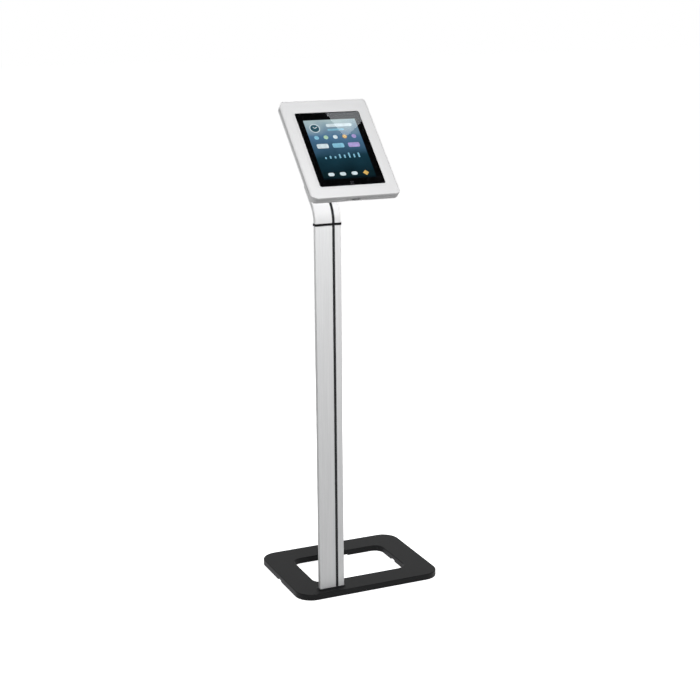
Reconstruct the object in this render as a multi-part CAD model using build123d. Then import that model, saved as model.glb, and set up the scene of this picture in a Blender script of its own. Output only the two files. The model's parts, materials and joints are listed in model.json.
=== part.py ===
from build123d import *
import os
from math import cos, sin, radians

os.makedirs("parts", exist_ok=True)

# Clearances shared by all the pieces, in millimetres
loose_gap = 0.3
slide_gap = 0.1
running_gap = 0.06
hole_gap = 0.15
overrun = 3.0

# Base ring
base_width = 426.0
base_depth = 335.0
base_corner_radius = 48.0
end_bar_width = 73.0
long_bar_width = 75.5
opening_corner_radius = 28.0
floor_gap = 1.5
cover_height = 16.3
cover_skin = 2.5
cover_skirt = 3.0
cover_edge_radius = 2.2
side_notch_length = 26.0
back_notch_length = 74.0
notch_height = 4.4

# Ballast, feet and their screws
ballast_thickness = 8.0
ballast_gap = 1.0
foot_radius = 13.0
side_foot_gap = 24.0
plate_foot_gap = 6.0
screw_foot_gap = 7.0
boss_radius = 4.5
boss_inset = 36.5
ballast_screw_radius = 1.6
ballast_screw_head_radius = 4.8
ballast_screw_head_height = 2.2
ballast_screw_length = 9.0

# Column extrusion
post_width = 72.0
post_depth = 15.0
post_corner_radius = 2.5
post_wall = 2.0
post_left_setback = 65.0
post_front_setback = 25.1
joint_height = 1027.1
channel_offset = 14.2
channel_width = 9.0
channel_depth = 7.5
channel_mouth = 4.8
channel_lip = 1.6
channel_wall = 1.6
web_offset = -12.0
web_thickness = 1.6
port_radius = 4.4
port_bore_radius = 2.5
left_port_offset = -24.0
right_port_offset = 26.8

# Foot plate under the base, its bolts and the collar on top
foot_plate_width = 96.0
foot_plate_depth = 34.0
foot_plate_thickness = 4.5
foot_plate_corner_radius = 5.0
foot_bolt_reach = 34.0
foot_bolt_head_radius = 4.6
foot_bolt_head_height = 2.4
foot_collar_margin = 4.5
foot_collar_height = 2.4
foot_collar_edge = 1.2

# Channel cover strip
strip_width = 7.0
strip_proud = 1.3
strip_stem_width = 4.4
strip_stem_depth = 1.9
strip_edge_radius = 0.5
strip_barb_width = 5.8
strip_barb_depth = 0.6

# Band, spigot bar and its screws at the joint
band_height = 6.0
band_proud = 2.0
band_edge_radius = 0.7
spigot_drop = 60.0
spigot_rise = 18.0
spigot_width = 17.0
spigot_front_gap = 4.9
spigot_screw_radius = 2.5
spigot_screw_length = 8.0
spigot_screw_drops = (14.0, 44.0)

# Neck
bend_start_rise = 3.0
bend_radius = 73.0
tilt_angle = 45.0
neck_straight = 62.0
neck_cap_thickness = 3.0
neck_cap_plug = 6.0

# Hinge block between the neck's face and the tilt plate
block_drop = 0.5
block_length = 61.5
block_thickness = 11.0
block_corner_radius = 6.0
block_slot_width = 9.4
block_slot_length = 13.5
lug_width = 38.0
pin_rise = 39.4
pin_standoff = 22.0
pin_radius = 5.0
knuckle_radius = 10.5
lug_root_shift = 15.0
block_screw_radius = 2.5
block_screw_head_radius = 4.8
block_screw_head_height = 2.8
block_screw_bite = 3.0
block_screw_inset_x = 8.5
block_screw_low = 9.0
block_screw_high = 51.5

# Tilt pin, friction washers and nut
washer_thickness = 1.2
washer_radius = 9.4
ear_thickness = 12.0
pin_head_radius = 8.5
pin_head_height = 6.0
pin_socket_radius = 4.6
pin_socket_depth = 3.2
pin_thread_beyond_nut = 1.0
tilt_nut_across_flats = 17.0
tilt_nut_height = 8.0

# Tablet enclosure: where it stands on the neck, and its outline
head_offset = 62.4
head_rise = 124.4
head_standoff = 66.0
side_lip = 2.75
end_lip = 2.25
window_corner_radius = 6.0
side_margin = 32.8
top_margin = 39.8
bottom_margin = 35.8
shell_corner_radius = 16.0
shell_depth = 23.5
seam_depth = 10.0
seam_gap = 0.2
side_edge_radius = 8.0
end_edge_radius = 3.0
shell_wall = 2.4
tray_floor = 1.6
tray_edge_radius = 2.5
bevel_width = 10.0
bevel_depth = 2.2
lip_thickness = 1.6
lip_land = 13.0
pocket_skin = 2.5
pocket_inset = 5.0

# Charging slot in the bottom wall
slot_width = 23.0
slot_opening = 6.5
slot_start_depth = 13.6
slot_recess_width = 62.0
slot_recess_cut = 0.8
slot_recess_margin = 1.0

# Frame hinge along the top wall
frame_hinge_standoff = 3.0
frame_knuckle_radius = 2.6
frame_knuckle_length = 11.0
frame_knuckle_gap = 0.4
frame_leaf_thickness = 2.4
frame_pin_radius = 1.3
frame_hinge_offset = 78.0

# Cam lock in the tray's floor and the catch on the frame
lock_offset = 70.0
lock_wall_distance = 19.0
lock_radius = 7.0
lock_flange_radius = 10.0
lock_flange_height = 1.8
lock_plug_radius = 4.6
lock_key_slot_length = 6.0
lock_key_slot_width = 1.4
lock_key_slot_depth = 5.0
lock_front_depth = 13.2
lock_nut_across_flats = 19.0
lock_nut_height = 3.0
cam_thickness = 2.6
cam_width = 9.0
cam_reach = 13.6
cam_screw_radius = 3.2
cam_screw_height = 1.6
catch_width = 22.0
catch_thickness = 2.0
catch_shelf = 6.0
catch_screw_radius = 2.0
catch_screw_head_radius = 2.8
catch_screw_head_height = 1.2
catch_screw_bite = 1.5
catch_screw_spread = 7.0

# Rotation between portrait and landscape
glide_radius = 48.0
glide_thickness = 2.0
plate_thickness = 4.0
plate_hub_radius = 46.0
plate_foot_above = 22.0
plate_foot_below = 14.0
plate_foot_corner_radius = 8.0
plate_window_radius = 13.0
plate_window_share = 0.62
pivot_radius = 5.0
pivot_head_radius = 11.0
pivot_head_height = 3.2
pivot_washer_radius = 11.0
pivot_washer_thickness = 1.6
pivot_nut_across_flats = 17.0
pivot_nut_height = 8.0
pivot_thread_beyond_nut = 1.0
stop_pin_radius = 3.0
stop_pin_orbit = 30.0
stop_pin_head_radius = 5.0
stop_pin_head_height = 1.6
stop_pin_start_angle = 45.0
rotate_range = 90.0

# Tablet
tablet_width = 190.0
tablet_height = 250.0
tablet_corner_radius = 10.0
glass_thickness = 1.1
body_thickness = 8.4
body_edge_radius = 3.0
display_side_margin = 21.0
display_end_margin = 26.5
display_thickness = 0.8
home_button_radius = 5.0
home_button_thickness = 1.2
home_button_travel = 0.4
home_button_inset = 13.0
camera_radius = 1.8
camera_thickness = 0.6
camera_inset = 12.0

# Foam
side_cushion_length = 180.0
top_cushion_length = 150.0
bottom_cushion_length = 32.0
bottom_cushion_offset = 34.0
side_cushion_front_depth = 8.5
back_cushion_width = 150.0
back_cushion_height = 36.0
back_cushion_offset = 72.0

# Places in the row's frame: origin under the middle of the whole stand, on the floor
tilt = radians(tilt_angle)
display_width = tablet_width - 2 * display_side_margin
display_height = tablet_height - 2 * display_end_margin
window_width = tablet_width - 2 * side_lip
window_height = tablet_height - 2 * end_lip
top_reach = window_height / 2 + top_margin
bottom_reach = window_height / 2 + bottom_margin
shell_width = window_width + 2 * side_margin
shell_height = top_reach + bottom_reach
shell_middle = (top_reach - bottom_reach) / 2
bend_back = bend_radius * (1 - cos(tilt))
head_behind_post = bend_back + head_rise * sin(tilt) - head_standoff * cos(tilt)
lip_corner_back = (end_edge_radius - bottom_reach) * sin(tilt) + end_edge_radius * (cos(tilt) - 1)
front_overhang = -(post_front_setback + head_behind_post + lip_corner_back)
overall_depth = base_depth + front_overhang
base_front = front_overhang - overall_depth / 2
base_middle = base_front + base_depth / 2
cover_top = floor_gap + cover_height
post_x = post_left_setback + post_width / 2 - base_width / 2
post_front = base_front + post_front_setback
post_foot = cover_top
joint_z = floor_gap + joint_height
bend_z = joint_z + bend_start_rise
bend_end_y = post_front + bend_back
bend_end_z = bend_z + bend_radius * sin(tilt)
head_x = post_x + head_offset
head_y = post_front + head_behind_post
head_z = bend_end_z + head_rise * cos(tilt) + head_standoff * sin(tilt)
opening_width = base_width - 2 * end_bar_width
opening_depth = base_depth - 2 * long_bar_width

# Local frames: the neck's straight part looks up along its length, the head's looks out of the screen
neck_end = (post_x, bend_end_y, bend_end_z)
neck_place = Plane(origin=neck_end, x_dir=(1, 0, 0), z_dir=(0, sin(tilt), cos(tilt))).location
head_middle = (head_x, head_y, head_z)
head_place = Plane(origin=head_middle, x_dir=(1, 0, 0), z_dir=(0, -cos(tilt), sin(tilt))).location
base_place = Pos(0, base_middle, 0)

# Heights and depths inside the base
ballast_top = cover_top - cover_skin
ballast_bottom = ballast_top - ballast_thickness
foot_plate_bottom = ballast_bottom - foot_plate_thickness

# Depths behind the enclosure's front face
lip_back = bevel_depth + lip_thickness
glass_front = lip_back + loose_gap
body_front = glass_front + glass_thickness
body_back = body_front + body_thickness
floor_front = shell_depth - tray_floor
glide_back = shell_depth + glide_thickness
plate_back = glide_back + plate_thickness
pin_depth = head_standoff - pin_standoff
pin_w = pin_rise - head_rise
post_in_head = post_x - head_x


def save(shape, name):
    shape.label = name
    export_step(shape, "parts/" + name + ".step")
    return shape


def group(solids):
    return Compound(children=list(solids))


def layer(sketch, front, back):
    # A plate in the head's frame between two depths behind the front face
    return Pos(0, 0, -back) * extrude(sketch, back - front)


def rod(radius, start, length, x=0.0, y=0.0):
    return Pos(x, y, start) * extrude(Circle(radius), length)


def hexagon(across_flats):
    return RegularPolygon(across_flats / 2, 6, major_radius=False)


def ring_outline(inset):
    outer = RectangleRounded(base_width - 2 * inset, base_depth - 2 * inset, base_corner_radius - inset)
    hole_radius = opening_corner_radius + inset
    hole = RectangleRounded(opening_width + 2 * inset, opening_depth + 2 * inset, hole_radius)
    return outer - hole


def ring(inset, bottom, top):
    return base_place * Pos(0, 0, bottom) * extrude(ring_outline(inset), top - bottom)


def notch_profile(length):
    half = length / 2
    points = [(-half, -overrun), (half, -overrun), (half, 0), (half - notch_height, notch_height)]
    points += [(notch_height - half, notch_height), (-half, 0)]
    return Polygon(*points, align=None)


def first_long_foot():
    # The foot that stands just clear of the foot plate
    return post_x + foot_plate_width / 2 + plate_foot_gap + foot_radius


def middle_boss():
    return first_long_foot() + foot_radius + screw_foot_gap + ballast_screw_head_radius


def boss_places():
    x_far = base_width / 2 - boss_inset
    y_far = base_depth / 2 - boss_inset
    return [(x, side * y_far) for side in (-1, 1) for x in (-x_far, middle_boss(), x_far)]


def foot_places():
    x_end = base_width / 2 - end_bar_width / 2
    y_end = base_depth / 2 - long_bar_width / 2
    corner_boss = base_width / 2 - boss_inset
    y_side = base_depth / 2 - boss_inset - ballast_screw_head_radius - side_foot_gap - foot_radius
    sides = [(sx * x_end, sy * y_side) for sx in (-1, 1) for sy in (-1, 1)]
    long_feet = (first_long_foot(), (middle_boss() + corner_boss) / 2)
    return sides + [(x, side * y_end) for side in (-1, 1) for x in long_feet]


def port_places():
    port_y = post_depth - post_wall - port_radius + web_thickness
    return [(left_port_offset, port_y), (right_port_offset, port_y)]


def base_cover():
    shell = ring(0, floor_gap, cover_top)
    shell = fillet(shell.faces().sort_by(Axis.Z)[-1].edges(), cover_edge_radius)
    shell -= ring(cover_skirt, floor_gap - overrun, ballast_top)
    for x, y in boss_places():
        shell += base_place * rod(boss_radius, ballast_bottom, ballast_top - ballast_bottom, x, y)
        shell -= base_place * rod(ballast_screw_radius + hole_gap, ballast_bottom, ballast_screw_length, x, y)
    side = Plane(origin=(-base_width / 2, base_middle, floor_gap), x_dir=(0, 1, 0), z_dir=(1, 0, 0))
    far_side = Plane(origin=(base_width / 2, base_middle, floor_gap), x_dir=(0, -1, 0), z_dir=(-1, 0, 0))
    back = Plane(origin=(0, base_middle + base_depth / 2, floor_gap), x_dir=(-1, 0, 0), z_dir=(0, -1, 0))
    notches = ((side, side_notch_length), (far_side, side_notch_length), (back, back_notch_length))
    for plane, length in notches:
        profile = plane * notch_profile(length)
        shell -= extrude(profile, base_depth / 3, dir=plane.z_dir)
        shell -= extrude(profile, overrun, dir=-plane.z_dir)
    for x, y in port_places():
        shell -= rod(port_bore_radius + hole_gap, ballast_top - overrun, cover_skin + 2 * overrun,
                     post_x + x, post_front + y)
    return shell


def base_ballast():
    plate = ring(cover_skirt + ballast_gap, ballast_bottom, ballast_top)
    for x, y in boss_places():
        plate -= base_place * rod(boss_radius + loose_gap, ballast_bottom - overrun,
                                  ballast_thickness + 2 * overrun, x, y)
    for x, y in port_places():
        plate -= rod(port_bore_radius + hole_gap, ballast_bottom - overrun, ballast_thickness + 2 * overrun,
                     post_x + x, post_front + y)
    return plate


def base_feet():
    return group(base_place * rod(foot_radius, 0, ballast_bottom, x, y) for x, y in foot_places())


def ballast_screw():
    head = rod(ballast_screw_head_radius, -ballast_screw_head_height, ballast_screw_head_height)
    head = chamfer(head.edges().sort_by(Axis.Z)[0], ballast_screw_head_height / 3)
    head -= Pos(0, 0, -ballast_screw_head_height) * extrude(
        hexagon(ballast_screw_radius * 2), ballast_screw_head_height / 2)
    return head + rod(ballast_screw_radius, 0, ballast_screw_length - ballast_screw_radius)


def ballast_screws():
    return group(base_place * Pos(x, y, ballast_bottom) * ballast_screw() for x, y in boss_places())


def foot_plate():
    middle_y = post_front + post_depth / 2
    plate = RectangleRounded(foot_plate_width, foot_plate_depth, foot_plate_corner_radius)
    plate = Pos(post_x, middle_y, foot_plate_bottom) * extrude(plate, foot_plate_thickness)
    for x, y in port_places():
        place = Pos(post_x + x, post_front + y, foot_plate_bottom)
        plate -= place * rod(port_bore_radius + hole_gap, -overrun, foot_plate_thickness + 2 * overrun)
        plate -= place * rod(foot_bolt_head_radius + hole_gap, -overrun, overrun + foot_bolt_head_height)
    return plate


def foot_bolt():
    head = rod(foot_bolt_head_radius, 0, foot_bolt_head_height)
    head -= extrude(hexagon(port_bore_radius * 2), foot_bolt_head_height / 2)
    shank_length = cover_top - foot_plate_bottom - foot_bolt_head_height + foot_bolt_reach
    return head + rod(port_bore_radius - slide_gap, foot_bolt_head_height, shank_length)


def foot_bolts():
    bolt = foot_bolt()
    return group(Pos(post_x + x, post_front + y, foot_plate_bottom) * bolt for x, y in port_places())


def foot_collar():
    place = Pos(post_x, post_front + post_depth / 2, cover_top)
    width = post_width + 2 * foot_collar_margin
    depth = post_depth + 2 * foot_collar_margin
    outline = RectangleRounded(width, depth, post_corner_radius + foot_collar_margin)
    collar = extrude(outline, foot_collar_height)
    collar = chamfer(collar.faces().sort_by(Axis.Z)[-1].edges(), foot_collar_edge)
    hole_radius = post_corner_radius + slide_gap
    hole = RectangleRounded(post_width + 2 * slide_gap, post_depth + 2 * slide_gap, hole_radius)
    collar -= Pos(0, 0, -overrun) * extrude(hole, foot_collar_height + 2 * overrun)
    return place * collar


def post_section(with_ports):
    middle = Pos(0, post_depth / 2)
    outline = middle * RectangleRounded(post_width, post_depth, post_corner_radius)
    cavity = middle * Rectangle(post_width - 2 * post_wall, post_depth - 2 * post_wall)
    channel_back = channel_lip + channel_depth
    jacket_depth = channel_back + channel_wall
    jacket_width = channel_width + 2 * channel_wall
    cavity -= Pos(channel_offset, jacket_depth / 2) * Rectangle(jacket_width, jacket_depth)
    cavity -= Pos(web_offset, post_depth / 2) * Rectangle(web_thickness, post_depth)
    ports = port_places() if with_ports else []
    for x, y in ports:
        cavity -= Pos(x, y) * Circle(port_radius)
    section = outline - cavity
    section -= Pos(channel_offset, channel_lip + channel_depth / 2) * Rectangle(channel_width, channel_depth)
    section -= Pos(channel_offset, 0) * Rectangle(channel_mouth, 2 * (channel_lip + channel_depth / 2))
    for x, y in ports:
        section -= Pos(x, y) * Circle(port_bore_radius)
    return section


def strip_section():
    crown = RectangleRounded(strip_width, strip_proud, strip_edge_radius)
    cap = Pos(channel_offset, -strip_proud / 2) * crown
    cap += Pos(channel_offset, -strip_proud / 4) * Rectangle(strip_width, strip_proud / 2)
    cap += Pos(channel_offset, strip_stem_depth / 2) * Rectangle(strip_stem_width, strip_stem_depth)
    half_barb = strip_barb_width / 2
    half_stem = strip_stem_width / 2
    barb_end = strip_stem_depth + strip_barb_depth
    points = [(-half_barb, strip_stem_depth), (half_barb, strip_stem_depth), (half_stem, barb_end)]
    return cap + Pos(channel_offset, 0) * Polygon(*points, (-half_stem, barb_end), align=None)


def upright(section, bottom, top):
    return Pos(post_x, post_front, bottom) * extrude(section, top - bottom)


def bent(section, bottom, tail):
    # A profile that stands up to the bend, leans back round it and runs on straight
    stand = upright(section, bottom, bend_z)
    axis = Axis((post_x, post_front + bend_radius, bend_z), (-1, 0, 0))
    curve = revolve(Pos(post_x, post_front, bend_z) * section, axis, tilt_angle)
    return stand + curve + neck_place * extrude(section, tail)


def spigot_screw_holes(radius):
    holes = []
    for drop in spigot_screw_drops:
        place = Pos(post_x, post_front + post_depth, joint_z - drop) * Rot(90, 0, 0)
        holes.append(place * rod(radius, -overrun, spigot_screw_length + overrun))
    return holes


def column_post():
    post = upright(post_section(True), post_foot, joint_z)
    for hole in spigot_screw_holes(spigot_screw_radius + slide_gap):
        post -= hole
    return post


def column_strip():
    return upright(strip_section(), cover_top + foot_collar_height, joint_z - band_height / 2)


def neck_strip():
    return bent(strip_section(), joint_z - band_height / 2, block_slot_length - block_drop)


def column_band():
    middle = Pos(post_x, post_front + post_depth / 2, joint_z - band_height / 2)
    outer = RectangleRounded(post_width + 2 * band_proud, post_depth + 2 * band_proud,
                             post_corner_radius + band_proud)
    band = extrude(outer, band_height)
    rims = band.faces().sort_by(Axis.Z)
    band = fillet(rims[0].edges() + rims[-1].edges(), band_edge_radius)
    hole = RectangleRounded(post_width + slide_gap, post_depth + slide_gap, post_corner_radius)
    band -= Pos(0, 0, -overrun) * extrude(hole, band_height + 2 * overrun)
    gate = Box(strip_width + 2 * slide_gap, strip_proud * 2, band_height + 2 * overrun)
    band -= Pos(channel_offset, -post_depth / 2, band_height / 2) * gate
    return middle * band


def spigot_bar():
    front = spigot_front_gap
    back = post_depth - post_wall - loose_gap
    left = web_offset + web_thickness / 2 + loose_gap
    place = Pos(post_x + left, post_front + front, joint_z - spigot_drop)
    bar = place * Box(spigot_width, back - front, spigot_drop + spigot_rise,
                      align=(Align.MIN, Align.MIN, Align.MIN))
    bar = chamfer(bar.edges().filter_by(Axis.Z), web_thickness / 2)
    for hole in spigot_screw_holes(spigot_screw_radius + slide_gap):
        bar -= hole
    return bar


def spigot_screws():
    screws = []
    for drop in spigot_screw_drops:
        place = Pos(post_x, post_front + post_depth, joint_z - drop) * Rot(90, 0, 0)
        screw = rod(spigot_screw_radius, 0, spigot_screw_length - slide_gap)
        screw -= extrude(hexagon(spigot_screw_radius), spigot_screw_radius)
        screws.append(place * screw)
    return group(screws)


def neck():
    shell = bent(post_section(False), joint_z, neck_straight)
    for x, y in block_screw_places():
        hole = rod(block_screw_radius + slide_gap, -overrun - post_wall, 2 * overrun + post_wall)
        shell -= neck_face_place(x, y) * hole
    return shell


def neck_cap():
    top = Pos(0, post_depth / 2) * RectangleRounded(post_width, post_depth, post_corner_radius)
    cap = Pos(0, 0, neck_straight) * extrude(top, neck_cap_thickness)
    cap = fillet(cap.faces().sort_by(Axis.Z)[-1].edges(), neck_cap_thickness / 3)
    plug_left = -post_width / 2 + post_wall + slide_gap
    plug_right = web_offset - web_thickness / 2 - slide_gap
    plug_depth = post_depth - 2 * (post_wall + slide_gap)
    plug = Box(plug_right - plug_left, plug_depth, neck_cap_plug, align=(Align.MIN, Align.MIN, Align.MAX))
    return neck_place * (cap + Pos(plug_left, post_wall + slide_gap, neck_straight) * plug)


def neck_face_place(x, rise):
    # On the neck's front face, looking away from the neck towards the head
    return head_place * Pos(post_in_head + x, rise - head_rise, -head_standoff)


def block_screw_places():
    x = post_width / 2 - block_screw_inset_x
    return [(sx * x, rise) for sx in (-1, 1) for rise in (block_screw_low, block_screw_high)]


def knuckle_profile(radius, base, root_low, root_high, axis_height):
    # A round eye that widens into its root, drawn beside the pin's axis
    points = [(root_low, base), (root_high, base), (radius, axis_height), (-radius, axis_height)]
    root = Polygon(*points, align=None)
    return root + Pos(0, axis_height) * Circle(radius)


def hinge_block():
    middle = block_length / 2 - block_drop
    base = Pos(0, middle) * RectangleRounded(post_width, block_length, block_corner_radius)
    block = extrude(base, block_thickness)
    block = fillet(block.faces().sort_by(Axis.Z)[-1].edges(), block_thickness / 6)
    slot_end = block_slot_length - block_drop
    slot = Box(block_slot_width, block_slot_length + overrun, block_thickness + 2 * overrun,
               align=(Align.CENTER, Align.MAX, Align.CENTER))
    block -= Pos(channel_offset, slot_end, block_thickness / 2) * slot
    root = block_thickness - overrun
    profile = knuckle_profile(knuckle_radius, root, -lug_root_shift, lug_root_shift, pin_standoff)
    side = Plane(origin=(-lug_width / 2, pin_rise, 0), x_dir=(0, 1, 0), z_dir=(1, 0, 0))
    block += extrude(side * profile, lug_width, dir=(1, 0, 0))
    bore = Plane(origin=(-lug_width, pin_rise, pin_standoff), x_dir=(0, 1, 0), z_dir=(1, 0, 0))
    block -= extrude(bore * Circle(pin_radius + running_gap), 2 * lug_width, dir=(1, 0, 0))
    for x, rise in block_screw_places():
        place = Pos(x, rise, 0)
        block -= place * rod(block_screw_radius + slide_gap, -overrun, block_thickness + 2 * overrun)
        seat = block_thickness - block_screw_head_height
        block -= place * rod(block_screw_head_radius + slide_gap, seat, block_screw_head_height + overrun)
    return head_place * Pos(post_in_head, -head_rise, -head_standoff) * block


def block_screws():
    seat = block_thickness - block_screw_head_height
    screw = rod(block_screw_head_radius, seat, block_screw_head_height - slide_gap)
    screw -= Pos(0, 0, block_thickness - block_screw_head_height / 2) * extrude(
        hexagon(block_screw_radius * 2), block_screw_head_height)
    screw += rod(block_screw_radius, -post_wall - block_screw_bite, seat + post_wall + block_screw_bite)
    return group(neck_face_place(x, rise) * screw for x, rise in block_screw_places())


def across_pin(sketch, start, length):
    # Extrudes a sketch centred on the tilt pin's axis, from start to the right
    plane = Plane(origin=(post_in_head + start, pin_w, -pin_depth), x_dir=(0, 1, 0), z_dir=(1, 0, 0))
    return head_place * extrude(plane * sketch, length, dir=(1, 0, 0))


ear_inner = lug_width / 2 + washer_thickness + slide_gap
ear_outer = ear_inner + ear_thickness


def tilt_washers():
    ring_sketch = Circle(washer_radius) - Circle(pin_radius + running_gap)
    left = across_pin(ring_sketch, -lug_width / 2 - washer_thickness, washer_thickness)
    right = across_pin(ring_sketch, lug_width / 2, washer_thickness)
    return group([left, right])


def tilt_pin():
    length = 2 * ear_outer + tilt_nut_height + pin_thread_beyond_nut
    pin = across_pin(Circle(pin_radius), -ear_outer, length)
    head = across_pin(Circle(pin_head_radius), -ear_outer - pin_head_height, pin_head_height)
    socket = across_pin(hexagon(pin_socket_radius * 2), -ear_outer - pin_head_height, pin_socket_depth)
    return pin + head - socket


def tilt_nut():
    thread = Circle(pin_radius + running_gap)
    return across_pin(hexagon(tilt_nut_across_flats) - thread, ear_outer, tilt_nut_height)


def plate_outline():
    foot_width = 2 * ear_outer
    foot_height = plate_foot_above + plate_foot_below
    foot = Pos(post_in_head, pin_w + (plate_foot_above - plate_foot_below) / 2) * RectangleRounded(
        foot_width, foot_height, plate_foot_corner_radius)
    hub = Pos(0, shell_middle) * Circle(plate_hub_radius)
    return make_hull(foot.edges() + hub.edges())


def tilt_plate():
    plate = layer(plate_outline(), glide_back, plate_back)
    eye_height = pin_depth - plate_back
    for start in (-ear_outer, ear_inner):
        profile = knuckle_profile(knuckle_radius, -overrun / 3, -lug_root_shift, lug_root_shift, eye_height)
        plane = Plane(origin=(post_in_head + start, pin_w, -plate_back), x_dir=(0, -1, 0), z_dir=(1, 0, 0))
        plate += extrude(plane * profile, ear_thickness, dir=(1, 0, 0))
    bore = Plane(origin=(post_in_head - 2 * ear_outer, pin_w, -pin_depth), x_dir=(0, 1, 0), z_dir=(1, 0, 0))
    plate -= extrude(bore * Circle(pin_radius + running_gap), 4 * ear_outer, dir=(1, 0, 0))
    centre = Pos(0, shell_middle)
    plate -= layer(centre * Circle(pivot_radius + running_gap), glide_back - overrun, plate_back + overrun)
    arc = CenterArc((0, 0), stop_pin_orbit, stop_pin_start_angle, rotate_range)
    arc_slot = centre * SlotArc(arc, 2 * (stop_pin_radius + slide_gap))
    plate -= layer(arc_slot, glide_back - overrun, plate_back + overrun)
    window_x = post_in_head * plate_window_share
    window_w = shell_middle + (pin_w - shell_middle) * plate_window_share
    window = Pos(window_x, window_w) * Circle(plate_window_radius)
    plate -= layer(window, glide_back - overrun, plate_back + overrun)
    return head_place * plate


def glide_disc():
    disc = Circle(glide_radius) - Circle(pivot_radius + slide_gap)
    disc -= stop_pin_spot() * Circle(stop_pin_radius + slide_gap)
    return head_place * layer(Pos(0, shell_middle) * disc, shell_depth, glide_back)


def stop_pin_spot():
    angle = radians(stop_pin_start_angle)
    return Pos(stop_pin_orbit * cos(angle), stop_pin_orbit * sin(angle))


def pivot_bolt():
    head = layer(Circle(pivot_head_radius), floor_front - pivot_head_height, floor_front)
    end = plate_back + pivot_washer_thickness + pivot_nut_height + pivot_thread_beyond_nut
    bolt = fillet(head.faces().sort_by(Axis.Z)[-1].edges(), pivot_head_height / 2)
    bolt += layer(Circle(pivot_radius), floor_front, end)
    return head_place * Pos(0, shell_middle, 0) * bolt


def pivot_washer():
    outline = Circle(pivot_washer_radius) - Circle(pivot_radius + slide_gap)
    washer = layer(outline, plate_back, plate_back + pivot_washer_thickness)
    return head_place * Pos(0, shell_middle, 0) * washer


def pivot_nut():
    start = plate_back + pivot_washer_thickness
    nut = hexagon(pivot_nut_across_flats) - Circle(pivot_radius + running_gap)
    return head_place * Pos(0, shell_middle, 0) * layer(nut, start, start + pivot_nut_height)


def stop_pin():
    pin = layer(Circle(stop_pin_head_radius), floor_front - stop_pin_head_height, floor_front)
    pin += layer(Circle(stop_pin_radius), floor_front, plate_back)
    return head_place * Pos(0, shell_middle, 0) * stop_pin_spot() * pin


def shell_outline(inset):
    radius = shell_corner_radius - inset
    outline = RectangleRounded(shell_width - 2 * inset, shell_height - 2 * inset, radius)
    return Pos(0, shell_middle) * outline


def window_outline(margin):
    radius = window_corner_radius + margin
    return RectangleRounded(window_width + 2 * margin, window_height + 2 * margin, radius)


def rolled_plate(width, radius):
    # A flat plate whose two long front edges are rolled over to the given radius
    thickness = seam_depth - seam_gap
    profile = Pos(0, -thickness / 2) * Rectangle(width, thickness)
    corners = profile.vertices().group_by(Axis.Y)[-1]
    return extrude(Plane.XZ * fillet(corners, radius), shell_height, both=True)


def frame_blank():
    sides = rolled_plate(shell_width, side_edge_radius)
    ends = Pos(0, shell_middle, 0) * Rot(0, 0, 90) * rolled_plate(shell_height, end_edge_radius)
    return layer(shell_outline(0), 0, seam_depth - seam_gap) & sides & ends


def hinge_sign(kind):
    return 1 if kind == "frame" else -1


def knuckle_spans(kind):
    # Tray knuckles stand outside the frame's knuckle on each of the two hinges
    pitch = frame_knuckle_length + frame_knuckle_gap
    shifts = (0,) if kind == "frame" else (-pitch, pitch)
    return [side * frame_hinge_offset + shift for side in (-1, 1) for shift in shifts]


def hinge_knuckles(kind):
    axis_w = top_reach + frame_hinge_standoff
    sign = hinge_sign(kind)
    parts = []
    for x in knuckle_spans(kind):
        start = (x - frame_knuckle_length / 2, axis_w, -seam_depth)
        place = Plane(origin=start, x_dir=(0, 1, 0), z_dir=(1, 0, 0))
        eye = place * (Circle(frame_knuckle_radius) - Circle(frame_pin_radius + running_gap))
        parts.append(extrude(eye, frame_knuckle_length, dir=(1, 0, 0)))
        leaf = Box(frame_knuckle_length, frame_hinge_standoff + shell_wall / 2, frame_leaf_thickness,
                   align=(Align.CENTER, Align.MAX, Align.CENTER))
        middle = -seam_depth + sign * (loose_gap + frame_leaf_thickness / 2)
        leaf = Pos(x, axis_w, middle) * leaf
        leaf -= extrude(place * Circle(frame_knuckle_radius - slide_gap), frame_knuckle_length, dir=(1, 0, 0))
        parts.append(leaf)
    return parts


def enclosure_front():
    frame = frame_blank()
    frame -= layer(shell_outline(shell_wall), lip_back, seam_depth + overrun)
    groove = shell_outline(pocket_inset) - window_outline(lip_land)
    frame -= layer(groove, pocket_skin, lip_back + overrun)
    frame -= layer(window_outline(0), -overrun, lip_back + overrun)
    frame -= loft([window_outline(bevel_width), Pos(0, 0, -bevel_depth) * window_outline(0)])
    for part in hinge_knuckles("frame"):
        frame += part
    for x in catch_screw_offsets():
        hole_depth = catch_screw_bite + slide_gap
        frame -= catch_wall_place(x) * rod(catch_screw_radius + slide_gap, -hole_depth, hole_depth)
    return head_place * frame


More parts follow.
